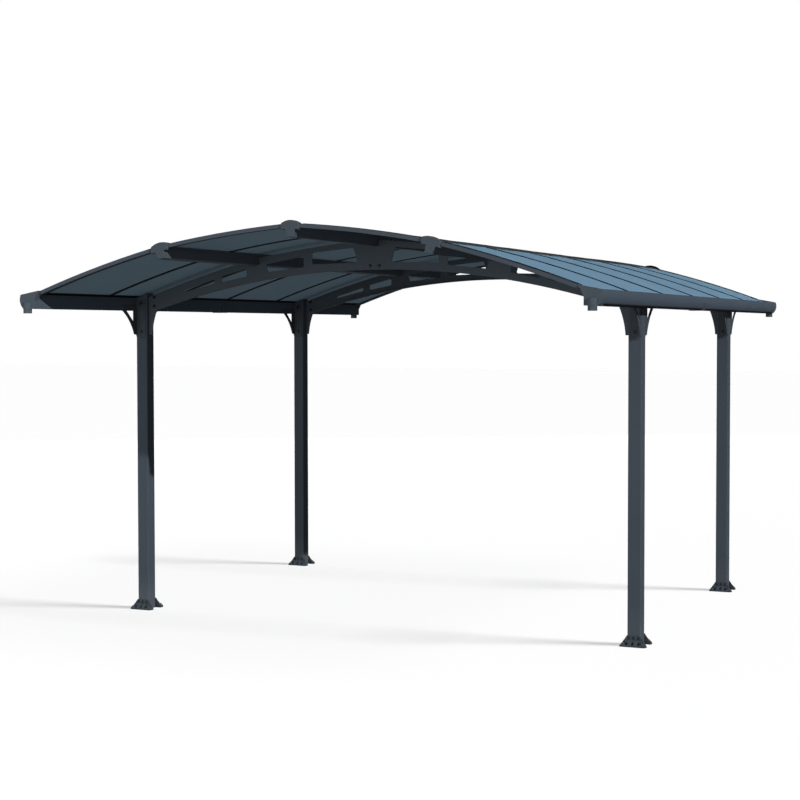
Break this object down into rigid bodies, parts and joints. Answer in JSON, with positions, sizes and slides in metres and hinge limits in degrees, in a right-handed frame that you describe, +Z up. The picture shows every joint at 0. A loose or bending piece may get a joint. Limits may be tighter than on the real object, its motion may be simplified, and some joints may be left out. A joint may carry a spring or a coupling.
{
  "type": "carport",
  "caption": "Free-standing carport: bowed roof of thin tinted sheets on purlins and slotted arch trusses, carried by square posts with knee brackets, side gutters and moulded feet.",
  "frame": {"origin": "on the ground, at the middle of the four posts", "axes": "+X to the right across the bay, +Y along the ridge away from the viewer, +Z up"},
  "size_m": [3.6208, 4.422, 2.433],
  "materials": {
    "coated_aluminium": "fine matt powder coat in dark grey",
    "coated_steel": "fine matt powder coat in dark grey",
    "moulded_fitting": "moulded plastic with a fine grain, dark grey",
    "joint_strip": "extruded plastic, dark grey",
    "roof_sheet": "smooth glossy polycarbonate with a blue-grey tint"
  },
  "bodies": {
    "root": {"back_edge_strips": "coated_aluminium", "back_left_foot_pads": "moulded_fitting", "back_left_knee_brackets": "coated_steel", "back_left_post": "coated_aluminium", "back_purlin_caps": "moulded_fitting", "back_right_foot_pads": "moulded_fitting", "back_right_knee_brackets": "coated_steel", "back_right_post": "coated_aluminium", "back_truss_left_half": "coated_steel", "back_truss_right_half": "coated_steel", "back_truss_splice": "coated_steel", "front_edge_strips": "coated_aluminium", "front_left_foot_pads": "moulded_fitting", "front_left_knee_brackets": "coated_steel", "front_left_post": "coated_aluminium", "front_purlin_caps": "moulded_fitting", "front_right_foot_pads": "moulded_fitting", "front_right_knee_brackets": "coated_steel", "front_right_post": "coated_aluminium", "front_truss_left_half": "coated_steel", "front_truss_right_half": "coated_steel", "front_truss_splice": "coated_steel", "left_gutter_back": "coated_aluminium", "left_gutter_front": "coated_aluminium", "left_gutter_outlet_back": "moulded_fitting", "left_gutter_outlet_front": "moulded_fitting", "left_gutter_strap": "coated_steel", "left_lower_joints": "joint_strip", "left_lower_sheets": "roof_sheet", "left_purlin": "coated_aluminium", "left_upper_joints": "joint_strip", "left_upper_sheets": "roof_sheet", "ridge_purlin": "coated_aluminium", "right_gutter_back": "coated_aluminium", "right_gutter_front": "coated_aluminium", "right_gutter_outlet_back": "moulded_fitting", "right_gutter_outlet_front": "moulded_fitting", "right_gutter_strap": "coated_steel", "right_lower_joints": "joint_strip", "right_lower_sheets": "roof_sheet", "right_purlin": "coated_aluminium", "right_upper_joints": "joint_strip", "right_upper_sheets": "roof_sheet"}
  },
  "joints": []
}
